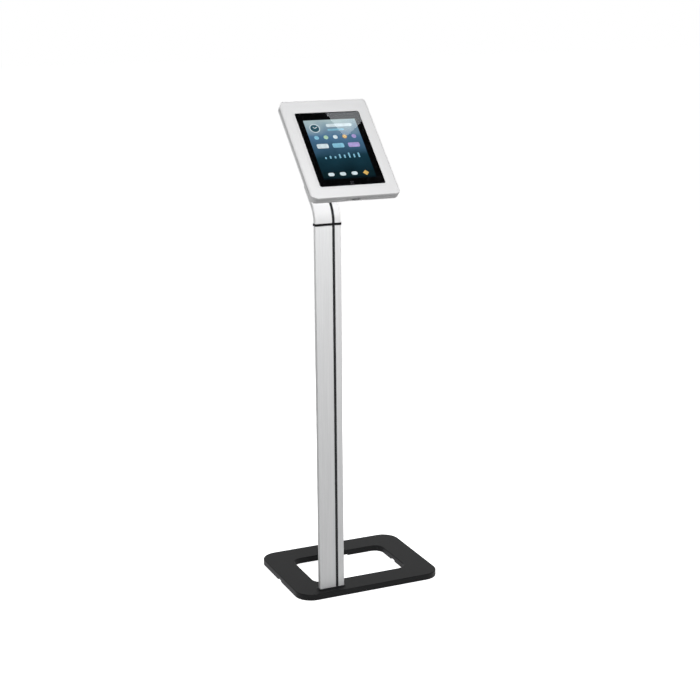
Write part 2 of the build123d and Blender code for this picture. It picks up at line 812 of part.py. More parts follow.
def enclosure_back():
    tray = layer(shell_outline(0), seam_depth, shell_depth)
    tray = fillet(tray.faces().sort_by(Axis.Z)[0].edges(), tray_edge_radius)
    hollow = layer(shell_outline(shell_wall), seam_depth - overrun, floor_front)
    hollow = fillet(hollow.faces().sort_by(Axis.Z)[0].edges(), tray_edge_radius - tray_floor)
    tray -= hollow
    centre = Pos(0, shell_middle)
    tray -= layer(centre * Circle(pivot_radius + slide_gap), floor_front - overrun, shell_depth + overrun)
    stop_hole = centre * stop_pin_spot() * Circle(stop_pin_radius + slide_gap)
    tray -= layer(stop_hole, floor_front - overrun, shell_depth + overrun)
    tray -= layer(lock_spot() * Circle(lock_radius + slide_gap), floor_front - overrun, shell_depth + overrun)
    slot_middle = -slot_start_depth - slot_opening / 2
    wall_plane = Plane(origin=(0, -bottom_reach, slot_middle), x_dir=(1, 0, 0), z_dir=(0, -1, 0))
    slot = SlotOverall(slot_width, slot_opening)
    recess = SlotOverall(slot_recess_width, slot_opening + 2 * slot_recess_margin)
    tray -= extrude(wall_plane * slot, 2 * shell_wall, both=True)
    tray -= extrude(wall_plane * recess, slot_recess_cut, dir=(0, 1, 0))
    for part in hinge_knuckles("tray"):
        tray += part
    return head_place * tray


def frame_hinge_pins():
    axis_w = top_reach + frame_hinge_standoff
    length = 3 * frame_knuckle_length + 2 * frame_knuckle_gap
    pins = []
    for side in (-1, 1):
        start = side * frame_hinge_offset - length / 2
        place = Plane(origin=(start, axis_w, -seam_depth), x_dir=(0, 1, 0), z_dir=(1, 0, 0))
        pins.append(head_place * extrude(place * Circle(frame_pin_radius), length, dir=(1, 0, 0)))
    return group(pins)


def lock_spot():
    return Pos(lock_offset, -bottom_reach + lock_wall_distance)


def lock_barrel():
    barrel = layer(Circle(lock_radius), lock_front_depth, shell_depth)
    barrel += layer(Circle(lock_flange_radius), shell_depth, shell_depth + lock_flange_height)
    rim = barrel.faces().sort_by(Axis.Z)[0].edges()
    barrel = chamfer(rim, lock_flange_height / 3)
    barrel -= layer(Circle(lock_plug_radius + running_gap), -overrun, shell_depth + 2 * overrun)
    return head_place * lock_spot() * barrel


def lock_nut():
    start = floor_front - lock_nut_height
    nut = hexagon(lock_nut_across_flats) - Circle(lock_radius + running_gap)
    return head_place * lock_spot() * layer(nut, start, floor_front)


def lock_plug():
    face = shell_depth + lock_flange_height
    plug = layer(Circle(lock_plug_radius), lock_front_depth, face)
    slot = Rectangle(lock_key_slot_width, lock_key_slot_length)
    plug -= layer(slot, face - lock_key_slot_depth, face + overrun)
    return head_place * lock_spot() * plug


def lock_cam():
    front = lock_front_depth - cam_thickness
    half = cam_width / 2
    arm = Pos(-cam_reach / 2, 0) * Rectangle(cam_reach, cam_width) + Circle(half)
    cam = layer(arm, front, lock_front_depth)
    cam -= layer(Circle(cam_screw_radius / 2 + slide_gap), front - overrun, lock_front_depth + overrun)
    return head_place * lock_spot() * cam


def cam_screw():
    front = lock_front_depth - cam_thickness
    screw = layer(Circle(cam_screw_radius), front - cam_screw_height, front)
    screw += layer(Circle(cam_screw_radius / 2), front, lock_front_depth)
    screw -= layer(hexagon(cam_screw_radius), front - cam_screw_height, front - cam_screw_height / 2)
    return head_place * lock_spot() * screw


def catch_wall_place(x):
    # On the inner face of the frame's bottom wall, looking into the enclosure
    wall = -bottom_reach + shell_wall
    middle = -(lip_back + seam_depth) / 2
    return Plane(origin=(lock_offset + x, wall, middle), x_dir=(1, 0, 0), z_dir=(0, 1, 0)).location


def catch_screw_offsets():
    return (-catch_screw_spread, catch_screw_spread)


def frame_catch():
    wall = -bottom_reach + shell_wall
    shelf_front = lock_front_depth + loose_gap
    leg_end = shelf_front + catch_thickness
    leg = Box(catch_width, catch_thickness, leg_end - lip_back, align=(Align.CENTER, Align.MIN, Align.MIN))
    catch = Pos(lock_offset, wall, -leg_end) * leg
    shelf = Box(catch_width / 2, catch_thickness + catch_shelf, catch_thickness,
                align=(Align.CENTER, Align.MIN, Align.MIN))
    catch += Pos(lock_offset, wall, -leg_end) * shelf
    relief = Box(catch_width + overrun, loose_gap, leg_end, align=(Align.CENTER, Align.MIN, Align.MIN))
    catch -= Pos(lock_offset, wall, -leg_end - seam_depth + seam_gap) * relief
    for x in catch_screw_offsets():
        hole = rod(catch_screw_radius + slide_gap, -overrun, catch_thickness + 2 * overrun)
        catch -= catch_wall_place(x) * hole
    return head_place * catch


def catch_screws():
    screw = rod(catch_screw_radius, -catch_screw_bite, catch_screw_bite + catch_thickness)
    screw += rod(catch_screw_head_radius, catch_thickness, catch_screw_head_height)
    return group(head_place * catch_wall_place(x) * screw for x in catch_screw_offsets())


def tablet_outline():
    return RectangleRounded(tablet_width, tablet_height, tablet_corner_radius)


def home_button_spot():
    return Pos(0, home_button_inset - tablet_height / 2)


def camera_spot():
    return Pos(0, tablet_height / 2 - camera_inset)


def tablet_glass():
    glass = layer(tablet_outline(), glass_front, body_front)
    glass -= home_button_spot() * layer(Circle(home_button_radius + slide_gap), 0, body_front + overrun)
    return head_place * glass


def tablet_body():
    body = layer(tablet_outline(), body_front, body_back)
    body = fillet(body.faces().sort_by(Axis.Z)[0].edges(), body_edge_radius)
    panel = Rectangle(display_width, display_height)
    body -= layer(panel, body_front - overrun, body_front + display_thickness)
    button_floor = glass_front + home_button_thickness + home_button_travel + slide_gap
    body -= home_button_spot() * layer(Circle(home_button_radius + slide_gap), 0, button_floor)
    body -= camera_spot() * layer(Circle(camera_radius + slide_gap), 0, body_front + camera_thickness)
    return head_place * body


def tablet_display():
    panel = Rectangle(display_width, display_height)
    return head_place * layer(panel, body_front, body_front + display_thickness)


def home_button():
    button = layer(Circle(home_button_radius), glass_front, glass_front + home_button_thickness)
    button = fillet(button.faces().sort_by(Axis.Z)[-1].edges(), slide_gap * 2)
    return head_place * home_button_spot() * button


def camera_lens():
    lens = layer(Circle(camera_radius), body_front, body_front + camera_thickness)
    return head_place * camera_spot() * lens


def side_cushions():
    inner = tablet_width / 2 + slide_gap
    outer = shell_width / 2 - shell_wall - slide_gap
    bars = []
    for sign in (-1, 1):
        bar = Rectangle(outer - inner, side_cushion_length)
        bars.append(Pos(sign * (inner + outer) / 2, shell_middle) * bar)
    top_inner = tablet_height / 2 + slide_gap
    top_outer = top_reach - shell_wall - slide_gap
    bars.append(Pos(0, (top_inner + top_outer) / 2) * Rectangle(top_cushion_length, top_outer - top_inner))
    bottom_outer = bottom_reach - shell_wall - slide_gap
    for sign in (-1, 1):
        bar = Rectangle(bottom_cushion_length, bottom_outer - top_inner)
        bars.append(Pos(sign * bottom_cushion_offset, -(top_inner + bottom_outer) / 2) * bar)
    solids = []
    for bar in bars:
        solid = layer(bar, side_cushion_front_depth, floor_front)
        solids.append(head_place * chamfer(solid.edges(), tray_edge_radius - tray_floor))
    return group(solids)


def back_cushions():
    bars = []
    for sign in (-1, 1):
        bar = Pos(0, sign * back_cushion_offset) * Rectangle(back_cushion_width, back_cushion_height)
        bars.append(head_place * layer(bar, body_back, floor_front))
    return group(bars)


save(base_cover(), "base_cover")
save(base_ballast(), "base_ballast")
save(base_feet(), "base_feet")
save(ballast_screws(), "ballast_screws")
save(foot_plate(), "foot_plate")
save(foot_bolts(), "foot_bolts")
save(foot_collar(), "foot_collar")
save(column_post(), "column_post")
save(column_strip(), "column_strip")
save(neck_strip(), "neck_strip")
save(column_band(), "column_band")
save(spigot_bar(), "spigot_bar")
save(spigot_screws(), "spigot_screws")
save(neck(), "neck")
save(neck_cap(), "neck_cap")
save(hinge_block(), "hinge_block")
save(block_screws(), "block_screws")
save(tilt_washers(), "tilt_washers")
save(tilt_pin(), "tilt_pin")
save(tilt_nut(), "tilt_nut")
save(tilt_plate(), "tilt_plate")
save(glide_disc(), "glide_disc")
save(pivot_bolt(), "pivot_bolt")
save(pivot_washer(), "pivot_washer")
save(pivot_nut(), "pivot_nut")
save(stop_pin(), "stop_pin")
save(enclosure_back(), "enclosure_back")
save(enclosure_front(), "enclosure_front")
save(frame_hinge_pins(), "frame_hinge_pins")
save(lock_barrel(), "lock_barrel")
save(lock_nut(), "lock_nut")
save(lock_plug(), "lock_plug")
save(lock_cam(), "lock_cam")
save(cam_screw(), "cam_screw")
save(frame_catch(), "frame_catch")
save(catch_screws(), "catch_screws")
save(side_cushions(), "side_cushions")
save(back_cushions(), "back_cushions")
save(tablet_body(), "tablet_body")
save(tablet_display(), "tablet_display")
save(tablet_glass(), "tablet_glass")
save(home_button(), "home_button")
save(camera_lens(), "camera_lens")

# Joint centres and openings for the record, in millimetres
print("head centre", round(head_x, 4), round(head_y, 4), round(head_z, 4))
print("base front", round(base_front, 4), "middle", round(base_middle, 4), "post x", round(post_x, 4),
      "post front", round(post_front, 4), "joint", round(joint_z, 4))
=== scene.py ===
import json
from math import cos, radians, sin

import bmesh
import bpy
from mathutils import Matrix, Vector


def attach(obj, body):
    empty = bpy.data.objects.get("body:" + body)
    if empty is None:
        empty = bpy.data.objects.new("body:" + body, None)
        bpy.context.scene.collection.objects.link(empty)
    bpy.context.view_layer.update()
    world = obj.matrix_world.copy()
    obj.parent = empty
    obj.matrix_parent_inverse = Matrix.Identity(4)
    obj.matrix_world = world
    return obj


bl_info = {
    "name": "Tablet Floor Stand",
    "version": (1, 0, 0),
    "blender": (4, 5, 0),
    "location": "3D View > Sidebar > Tablet Stand",
    "description": "Dresses the tablet floor stand in its finishes and adds its trim",
    "category": "Add Mesh",
}

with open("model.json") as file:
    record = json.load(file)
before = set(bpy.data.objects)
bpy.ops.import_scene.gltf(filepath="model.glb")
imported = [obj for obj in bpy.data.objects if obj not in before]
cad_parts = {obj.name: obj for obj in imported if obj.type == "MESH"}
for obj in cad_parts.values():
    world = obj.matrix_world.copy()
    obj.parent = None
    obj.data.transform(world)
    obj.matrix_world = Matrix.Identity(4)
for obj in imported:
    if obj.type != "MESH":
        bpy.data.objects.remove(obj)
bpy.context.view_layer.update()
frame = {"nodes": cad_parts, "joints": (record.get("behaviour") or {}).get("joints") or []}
nodes = frame["nodes"]

# Sizes read from the model, in metres. Places on the head are measured from the middle of the tablet and
# depths from the head's front face
SHELL = (0.2501, 0.3211)
SHELL_DEPTH = 0.0235
SHELL_CORNER = 0.016
SHELL_MIDDLE = (0.0, 0.002)
SEAM_DEPTH = 0.010
GLASS_BACK = 0.0052
DISPLAY = (0.148, 0.197)
PRINT = (0.189, 0.249)
BUTTON = (0.0, -0.112)
BUTTON_RADIUS = 0.0044
BUTTON_FRONT = 0.0041
LENS = (0.0, 0.113)
CASE_FRONT = GLASS_BACK + 0.0015

# The step between two thin layers of the screen, and how much smaller the picture is than its hole
LAYER_GAP = 0.00002
PICTURE_GAP = 0.0001

# The head leans back by this angle and turns about its own normal
LEAN = radians(45)
OUTWARD = Vector((0, -cos(LEAN), sin(LEAN)))
UPWARD = Vector((0, sin(LEAN), cos(LEAN)))
turning_point = next(Vector(joint["pos_m"]) for joint in frame["joints"] if joint["name"] == "head_turn")
head_centre = turning_point + OUTWARD * SHELL_DEPTH - UPWARD * SHELL_MIDDLE[1]
HEAD = Matrix.Translation(head_centre) @ Matrix.Rotation(LEAN, 4, "X")

# The colours of the screen's sky, from its foot to its head, and of the marks on it
SKY = ((0.0, (0.001, 0.006, 0.009)), (0.35, (0.008, 0.038, 0.058)), (0.7, (0.075, 0.17, 0.29)),
       (1.0, (0.40, 0.52, 0.54)))
MARK_COLOURS = {
    "white": (0.62, 0.72, 0.76), "cyan": (0.22, 0.48, 0.62), "mint": (0.42, 0.62, 0.45),
    "violet": (0.40, 0.33, 0.62), "amber": (0.66, 0.42, 0.12), "deep": (0.03, 0.09, 0.12),
    "haze": (0.004, 0.017, 0.022),
}

# Places of the marks, from the middle of the display, and sizes, all as shares of its width and height
DIAL = (-0.33, 0.36)
HEADLINE = (0.15, 0.40)
HEADLINE_WIDTH = 0.50
SUBLINE = (0.06, 0.325)
SUBLINE_WIDTH = 0.32
DISC_COLOURS = ("cyan", "mint", "white", "amber", "violet")
DISC_STEP = 0.18
DISC_RISE = 0.20
TILE_COLOURS = ("white", "cyan", "violet")
TILE_STEP = 0.30
TILE_RISE = 0.055
TILE_SIZE = (0.22, 0.075)
CHART_START = (-0.32, -0.16)
CHART_STEP = 0.0914
CHART_TALLEST = 0.085
CHART_HEIGHTS = (0.35, 0.55, 0.45, 0.8, 0.65, 1.0, 0.7, 0.9)
SHELF = (0.0, -0.425)
SHELF_SIZE = (0.99, 0.09)
SHELF_MARK_RISE = -0.42
PILL_PLACES = (-0.33, -0.11, 0.11)
PILL_WIDTH = 0.115
DIAMOND_PLACE = 0.33

# Heights, lengths and corner radii of the marks, in metres
HEADLINE_HEIGHT = 0.0105
HEADLINE_CORNER = 0.005
SUBLINE_HEIGHT = 0.006
SUBLINE_CORNER = 0.0028
HANDS = ((radians(60), 0.0085), (radians(-40), 0.0065))
HAND_CORNER = 0.0008
BAR_WIDTH = 0.0045
BAR_CORNER = 0.0015
SHELF_CORNER = 0.002
PILL_HEIGHT = 0.011
PILL_CORNER = 0.0054
DIAMOND_RADIUS = 0.0085

# The lamps: where each one stands, what it faces and its two sides, in metres
KEY_LAMP = ((-0.4, -1.6, 2.1), (-0.08, -0.05, 1.1), (0.6, 0.6))
SIDE_LAMP = ((-1.5, 0.35, 1.25), (-0.17, -0.07, 1.2), (0.5, 0.5))
BACK_LAMP = ((1.2, 1.7, 1.2), (-0.08, 0.0, 0.9), (0.8, 0.8))
SIDE_SPREAD = radians(40)
FULL_SPREAD = radians(180)
NECK_PIECES = ("neck", "neck_strip", "neck_cap", "hinge_block", "block_screws")

# The card that the glass mirrors: one corner, its turn and its side. Then the floor's side, in metres, and
# the width of the camera's sensor, in millimetres
CARD_CORNER = (0.744, -0.231, 3.0)
CARD_TURN = radians(-50.9)
CARD_SIDE = 0.5
FLOOR_SIDE = 60.0
SENSOR_WIDTH = 36

# The sockets of a Mix node that is set to vectors
MIX_FIRST, MIX_SECOND, MIX_RESULT = 4, 5, 1


# Small helpers for shader nodes

def calc(tree, operation, first, second):
    node = tree.nodes.new("ShaderNodeMath")
    node.operation = operation
    for socket, value in zip(node.inputs, (first, second)):
        if isinstance(value, (int, float)):
            socket.default_value = value
        else:
            tree.links.new(value, socket)
    return node.outputs["Value"]


def tint(colour, factor):
    return tuple(min(1.0, channel * factor) for channel in colour)


class Shader:
    # A material, with short names for the shader nodes that the finishes share
    def __init__(self, name):
        self.material = bpy.data.materials.new(name)
        self.material.use_nodes = True
        self.tree = self.material.node_tree
        self.surface = self.tree.nodes["Principled BSDF"]
        self.coordinates = self.add("ShaderNodeTexCoord")

    def add(self, kind, **values):
        node = self.tree.nodes.new(kind)
        for name, value in values.items():
            setattr(node, name, value)
        return node

    def link(self, source, target):
        self.tree.links.new(source, target)

    def feed(self, source, socket):
        self.link(source, self.surface.inputs[socket])

    def set(self, **values):
        for name, value in values.items():
            self.surface.inputs[name.replace("_", " ")].default_value = value

    def object_space(self, stretch=(1, 1, 1), turn=(0, 0, 0), move=(0, 0, 0)):
        mapping = self.add("ShaderNodeMapping", vector_type="TEXTURE")
        mapping.inputs["Location"].default_value = move
        mapping.inputs["Rotation"].default_value = turn
        mapping.inputs["Scale"].default_value = stretch
        self.link(self.coordinates.outputs["Object"], mapping.inputs["Vector"])
        return mapping.outputs["Vector"]

    def head_space(self):
        return self.object_space(turn=(LEAN, 0, 0), move=tuple(head_centre))

    def split(self, vector):
        node = self.add("ShaderNodeSeparateXYZ")
        self.link(vector, node.inputs["Vector"])
        return node.outputs

    def noise(self, vector, scale, detail=2.0, rough=0.5):
        node = self.add("ShaderNodeTexNoise")
        node.inputs["Scale"].default_value = scale
        node.inputs["Detail"].default_value = detail
        node.inputs["Roughness"].default_value = rough
        self.link(vector, node.inputs["Vector"])
        return node.outputs["Fac"]

    def spread(self, value, low, high):
        node = self.add("ShaderNodeMapRange")
        node.inputs["To Min"].default_value = low
        node.inputs["To Max"].default_value = high
        self.link(value, node.inputs["Value"])
        return node.outputs["Result"]

    def ramp(self, value, stops):
        node = self.add("ShaderNodeValToRGB")
        elements = node.color_ramp.elements
        while len(elements) < len(stops):
            elements.new(0.5)
        for element, (place, colour) in zip(elements, stops):
            element.position = place
            element.color = (*colour, 1)
        self.link(value, node.inputs["Fac"])
        return node.outputs["Color"]

    def math(self, operation, first, second):
        return calc(self.tree, operation, first, second)

    def mottle(self, pattern, colour, dark, light, start=0.3, end=0.7, socket="Base Color"):
        # The pattern carries a darker and a lighter shade of one colour
        self.feed(self.ramp(pattern, ((start, tint(colour, dark)), (end, tint(colour, light)))), socket)

    def roughen(self, pattern, roughness, below, above):
        self.feed(self.spread(pattern, roughness - below, roughness + above), "Roughness")

    def bump(self, height, distance, strength):
        node = self.add("ShaderNodeBump")
        node.inputs["Distance"].default_value = distance
        node.inputs["Strength"].default_value = strength
        self.link(height, node.inputs["Height"])
        self.feed(node.outputs["Normal"], "Normal")


# Finishes

def powder_coat(name, colour, roughness, grain=1100.0, depth=0.00006, specular=0.5):
    made = Shader(name)
    space = made.object_space()
    cloud = made.noise(space, scale=9.0, detail=3.0)
    fine = made.noise(space, scale=grain, detail=3.0, rough=0.6)
    made.mottle(cloud, colour, dark=0.985, light=1.01)
    made.roughen(fine, roughness, below=0.05, above=0.07)
    made.bump(fine, distance=depth, strength=0.5)
    made.set(Specular_IOR_Level=specular)
    return made.material


def brushed_metal(name, colour, roughness, along="Z", metallic=1.0, streak=60):
    made = Shader(name)
    space = made.object_space(stretch=[streak if axis == along else 1 for axis in "XYZ"])
    streaks = made.noise(space, scale=2600.0, rough=0.7)
    broad = made.noise(space, scale=260.0, rough=0.6)
    made.mottle(made.math("MULTIPLY", streaks, broad), colour, dark=0.93, light=1.05, start=0.12, end=0.42)
    made.roughen(streaks, roughness, below=0.06, above=0.08)
    made.bump(streaks, distance=0.00002, strength=0.4)
    made.set(Metallic=metallic)
    return made.material


def moulded_plastic(name, colour, roughness, grain=900.0, depth=0.00005, specular=0.5):
    made = Shader(name)
    space = made.object_space()
    fine = made.noise(space, scale=grain, detail=4.0, rough=0.65)
    broad = made.noise(space, scale=14.0)
    made.mottle(broad, colour, dark=0.92, light=1.08)
    made.roughen(fine, roughness, below=0.06, above=0.08)
    made.bump(fine, distance=depth, strength=0.5)
    made.set(Specular_IOR_Level=specular)
    return made.material


def foam(name, colour, cell_scale=1400.0):
    made = Shader(name)
    cells = made.add("ShaderNodeTexVoronoi")
    cells.inputs["Scale"].default_value = cell_scale
    made.link(made.object_space(), cells.inputs["Vector"])
    made.mottle(cells.outputs["Distance"], colour, dark=0.5, light=1.3, start=0.0, end=0.5)
    made.bump(cells.outputs["Distance"], distance=0.0003, strength=0.8)
    made.set(Roughness=0.95)
    return made.material


def clear_glass(name):
    made = Shader(name)
    smear = made.noise(made.object_space(), scale=30.0, detail=3.0)
    made.feed(made.ramp(smear, ((0.3, (0.97, 0.98, 0.98)), (0.7, (1, 1, 1)))), "Base Color")
    # The glass mirrors by its flat faces alone, so the mirrored card keeps straight edges
    flat = made.add("ShaderNodeNewGeometry")
    made.feed(flat.outputs["True Normal"], "Normal")
    made.set(Roughness=0.0, IOR=1.5, Transmission_Weight=1.0)
    return made.material


def tablet_case(name):
    # Black where the glass covers it and satin aluminium on the sides and back
    made = Shader(name)
    space = made.head_space()
    front = made.math("GREATER_THAN", made.split(space)["Z"], -CASE_FRONT)
    grain = made.noise(space, scale=1500.0)
    made.feed(made.ramp(front, ((0.0, (0.5, 0.5, 0.52)), (1.0, (0.004, 0.004, 0.005)))), "Base Color")
    made.feed(made.math("SUBTRACT", 1.0, front), "Metallic")
    made.feed(made.spread(grain, low=0.3, high=0.4), "Roughness")
    flat = made.add("ShaderNodeNewGeometry")
    turned = made.add("ShaderNodeMix", data_type="VECTOR")
    made.link(front, turned.inputs["Factor"])
    made.link(flat.outputs["Normal"], turned.inputs[MIX_FIRST])
    made.link(flat.outputs["True Normal"], turned.inputs[MIX_SECOND])
    made.feed(turned.outputs[MIX_RESULT], "Normal")
    made.set(Specular_IOR_Level=0.1)
    return made.material


def lit_panel(name):
    # The display's own light: a cool sky that darkens downwards, with soft broad waves
    made = Shader(name)
    share = made.math("DIVIDE", made.split(made.head_space())["Y"], DISPLAY[1])
    waves = made.math("SUBTRACT", made.noise(made.object_space(), scale=22.0), 0.5)
    wavy = made.math("ADD", made.math("ADD", share, 0.5), made.math("MULTIPLY", waves, 0.25))
    made.feed(made.ramp(wavy, SKY), "Emission Color")
    made.set(Base_Color=(0.001, 0.001, 0.0012, 1), Roughness=0.6, Specular_IOR_Level=0.0,
             Emission_Strength=1.0)
    return made.material


def printed_black(name):
    # The black border printed under the glass
    made = Shader(name)
    grain = made.noise(made.object_space(), scale=900.0)
    made.feed(made.ramp(grain, ((0.3, (0.002, 0.002, 0.002)), (0.7, (0.004, 0.004, 0.005)))), "Base Color")
    made.set(Roughness=0.8, Specular_IOR_Level=0.0)
    return made.material


def glowing(name, colour, strength=1.0):
    made = Shader(name)
    soft = made.noise(made.object_space(), scale=90.0, detail=1.0)
    made.mottle(soft, colour, dark=0.88, light=1.1, socket="Emission Color")
    made.set(Base_Color=(*tint(colour, 0.1), 1), Roughness=0.6, Specular_IOR_Level=0.0,
             Emission_Strength=strength)
    return made.material


def dress(node, material):
    slots = nodes[node].data.materials
    slots.clear()
    slots.append(material)


# Helpers for new meshes, drawn in the head's own frame: x right, y up the screen, z out of it

def solid_flat(bm, verts, thickness):
    # Turns a flat figure into a thin closed solid that stands on it
    faces = list(dict.fromkeys(face for vert in verts for face in vert.link_faces))
    raised = bmesh.ops.extrude_face_region(bm, geom=faces)["geom"]
    moved = [item for item in raised if isinstance(item, bmesh.types.BMVert)]
    bmesh.ops.translate(bm, verts=moved, vec=(0, 0, thickness))


def rounded_figure(bm, middle, size, radius, level, segments=5, turn=0.0):
    turned = Matrix.Translation((*middle, level)) @ Matrix.Rotation(turn, 4, "Z")
    place = turned @ Matrix.Diagonal((*size, 1, 1))
    grid = bmesh.ops.create_grid(bm, x_segments=1, y_segments=1, size=0.5, matrix=place)
    corners = bmesh.ops.bevel(bm, geom=grid["verts"], offset=radius, offset_type="OFFSET", affect="VERTICES",
                              segments=segments, profile=0.5, material=-1)
    return corners["verts"]


def round_figure(bm, middle, radius, level, sides=32):
    place = Matrix.Translation((*middle, level))
    return bmesh.ops.create_circle(bm, cap_ends=True, radius=radius, segments=sides, matrix=place)["verts"]


def rounded_plate(bm, middle, size, radius, level, thickness, segments=5, turn=0.0):
    solid_flat(bm, rounded_figure(bm, middle, size, radius, level, segments, turn), thickness)


def disc(bm, middle, radius, level, thickness, sides=32):
    solid_flat(bm, round_figure(bm, middle, radius, level, sides), thickness)


def hoop(bm, figures, thickness):
    # A thin solid ring between two flat figures that have as many corners
    faces = [figure[0].link_faces[0] for figure in figures]
    edges = [edge for face in faces for edge in face.edges]
    bmesh.ops.delete(bm, geom=faces, context="FACES_ONLY")
    ring = bmesh.ops.bridge_loops(bm, edges=edges)["faces"]
    solid_flat(bm, [vert for face in ring for vert in face.verts], thickness)


def cut_sheet(bm, size, holes, level, thickness):
    # A thin sheet with square holes, each given by its left, right, low and high edge
    place = Matrix.Translation((0, 0, level)) @ Matrix.Diagonal((*size, 1, 1))
    bmesh.ops.create_grid(bm, x_segments=1, y_segments=1, size=0.5, matrix=place)
    for left, right, low, high in holes:
        cuts = [((x, 0, 0), (1, 0, 0)) for x in (left, right)]
        cuts += [((0, y, 0), (0, 1, 0)) for y in (low, high)]
        for point, normal in cuts:
            bmesh.ops.bisect_plane(bm, geom=bm.verts[:] + bm.edges[:] + bm.faces[:], plane_co=point,
                                   plane_no=normal)
    for left, right, low, high in holes:
        inside = [face for face in bm.faces if left < face.calc_center_median().x < right
                  and low < face.calc_center_median().y < high]
        bmesh.ops.delete(bm, geom=inside, context="FACES")
    solid_flat(bm, bm.verts[:], thickness)


def square_hole(middle, reach):
    return middle[0] - reach, middle[0] + reach, middle[1] - reach, middle[1] + reach


def on_display(across, up):
    # Metres from shares of the display's width and height
    return across * DISPLAY[0], up * DISPLAY[1]


def piece(name, mesh_maker, material, body):
    bm = bmesh.new()
    mesh_maker(bm)
    bmesh.ops.transform(bm, matrix=HEAD, verts=bm.verts)
    bmesh.ops.recalc_face_normals(bm, faces=bm.faces)
    mesh = bpy.data.meshes.new(name)
    bm.to_mesh(mesh)
    bm.free()
    mesh.materials.append(material)
    made = bpy.data.objects.new(name, mesh)
    bpy.context.scene.collection.objects.link(made)
    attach(made, body)


# The studio

def seen_ray(tree, path):
    # One for what the camera, mirrors and clear glass show, nought for soft bounces
    mirrored = calc(tree, "MAXIMUM", path.outputs["Is Glossy Ray"], path.outputs["Is Transmission Ray"])
    return calc(tree, "MAXIMUM", path.outputs["Is Camera Ray"], mirrored)


def studio_floor(light):
    made = Shader("studio floor")
    seen = seen_ray(made.tree, made.add("ShaderNodeLightPath"))
    made.set(Base_Color=(0.9, 0.9, 0.9, 1), Roughness=0.9, Specular_IOR_Level=0.0,
             Emission_Color=(1, 1, 1, 1))
    made.feed(made.spread(seen, low=0.0, high=light.floor_glow), "Emission Strength")
    dim = made.add("ShaderNodeBsdfDiffuse")
    dim.inputs["Color"].default_value = (light.floor_bounce, light.floor_bounce, light.floor_bounce, 1)
    blend = made.add("ShaderNodeMixShader")
    made.link(seen, blend.inputs["Fac"])
    made.link(dim.outputs["BSDF"], blend.inputs[1])
    made.link(made.surface.outputs["BSDF"], blend.inputs[2])
    made.link(blend.outputs["Shader"], made.tree.nodes["Material Output"].inputs["Surface"])
    return made.material


def studio_world(light):
    # The room is brightest near the horizon and dark overhead, so the glass mirrors a dark ceiling
    world = bpy.data.worlds.new("studio")
    world.use_nodes = True
    tree = world.node_tree
    towards = tree.nodes.new("ShaderNodeTexCoord")
    split = tree.nodes.new("ShaderNodeSeparateXYZ")
    tree.links.new(towards.outputs["Generated"], split.inputs["Vector"])
    dome = tree.nodes.new("ShaderNodeMapRange")
    dome.interpolation_type = "SMOOTHSTEP"
    dome.inputs["From Min"].default_value = light.ceiling_start
    dome.inputs["From Max"].default_value = light.ceiling_start + light.ceiling_fade
    dome.inputs["To Min"].default_value = 1.0
    dome.inputs["To Max"].default_value = light.ceiling
    tree.links.new(split.outputs["Z"], dome.inputs["Value"])
    path = tree.nodes.new("ShaderNodeLightPath")
    level = tree.nodes.new("ShaderNodeMapRange")
    level.inputs["To Min"].default_value = light.room
    level.inputs["To Max"].default_value = 1.0
    tree.links.new(seen_ray(tree, path), level.inputs["Value"])
    shown = calc(tree, "MULTIPLY", dome.outputs["Result"], level.outputs["Result"])
    background = tree.nodes["Background"]
    background.inputs["Color"].default_value = (1, 1, 1, 1)
    strength = calc(tree, "MAXIMUM", shown, path.outputs["Is Camera Ray"])
    tree.links.new(strength, background.inputs["Strength"])
    return world


def area_lamp(name, stand, power, spread=FULL_SPREAD):
    place, target, size = stand
    data = bpy.data.lights.new(name, "AREA")
    data.shape = "RECTANGLE"
    data.size, data.size_y = size
    data.energy = power
    data.spread = spread
    lamp = bpy.data.objects.new(name, data)
    lamp.location = place
    lamp.rotation_mode = "QUATERNION"
    lamp.rotation_quaternion = (Vector(target) - lamp.location).to_track_quat("-Z", "Y")
    lamp.visible_camera = False
    bpy.context.scene.collection.objects.link(lamp)
    return lamp


def light_group(name, state):
    # The neck's pieces, as a group that a lamp lights alone or leaves out
    group = bpy.data.collections.new(name)
    for node in NECK_PIECES:
        group.objects.link(nodes[node])
    for entry in group.collection_objects:
        entry.light_linking.link_state = state
    return group


def key_lamps(power):
    # Two like lamps in one place: the second lights the neck alone, so the head throws no shadow on it
    key = area_lamp("key lamp", KEY_LAMP, power)
    neck = area_lamp("neck lamp", KEY_LAMP, power)
    key.light_linking.receiver_collection = light_group("all but the neck", "EXCLUDE")
    neck.light_linking.receiver_collection = light_group("neck", "INCLUDE")
    neck.light_linking.blocker_collection = light_group("neck shadows", "INCLUDE")


def stage_square(name, side, place, material, face_down=False):
    bm = bmesh.new()
    bmesh.ops.create_grid(bm, x_segments=1, y_segments=1, size=side / 2, matrix=place)
    if face_down:
        bmesh.ops.reverse_faces(bm, faces=bm.faces)
    mesh = bpy.data.meshes.new(name)
    bm.to_mesh(mesh)
    bm.free()
    mesh.materials.append(material)
    square = bpy.data.objects.new(name, mesh)
    bpy.context.scene.collection.objects.link(square)
    return square


def glare_card(strength):
    # A card far overhead that only mirrors show, placed for the upper right of the tablet's glass
    made = Shader("glare card")
    made.set(Base_Color=(0, 0, 0, 1), Emission_Color=(0.92, 0.96, 1, 1), Emission_Strength=strength)
    from_corner = Matrix.Translation((-CARD_SIDE / 2, CARD_SIDE / 2, 0))
    place = Matrix.Translation(CARD_CORNER) @ Matrix.Rotation(CARD_TURN, 4, "Z") @ from_corner
    card = stage_square("glare card", CARD_SIDE, place, made.material, face_down=True)
    card.visible_camera = False
    card.visible_diffuse = False
    card.visible_shadow = False


